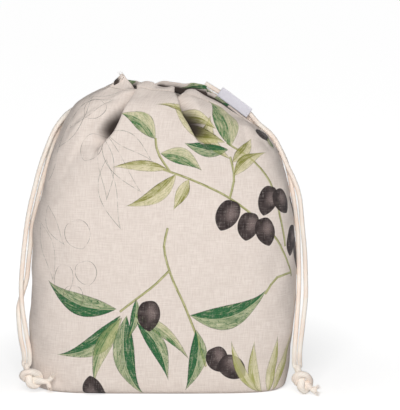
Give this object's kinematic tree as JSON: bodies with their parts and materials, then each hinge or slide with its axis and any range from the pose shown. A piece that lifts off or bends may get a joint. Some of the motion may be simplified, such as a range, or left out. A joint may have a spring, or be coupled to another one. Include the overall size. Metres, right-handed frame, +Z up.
{
  "type": "drawstring linen bread bag",
  "caption": "Standing drawstring bread bag of printed linen with a gathered cord channel, knotted cotton cords and a blank sewn label.",
  "frame": {"origin": "on the floor under the middle of the bag's flat base", "axes": "+Z up towards the gathered mouth, -Y towards the printed front, +X to the front's right"},
  "size_m": [0.2951, 0.1277, 0.3086],
  "materials": {
    "linen": "matte slubby plain weave, printed",
    "cotton_cord": "matte braided cotton",
    "label": "satin woven ribbon"
  },
  "bodies": {
    "root": {"panel_front": "linen", "panel_back": "linen", "cord_left_front": "cotton_cord", "cord_left_back": "cotton_cord", "cord_right_front": "cotton_cord", "cord_right_back": "cotton_cord", "knot_left": "cotton_cord", "knot_right": "cotton_cord", "label": "label"}
  },
  "joints": []
}
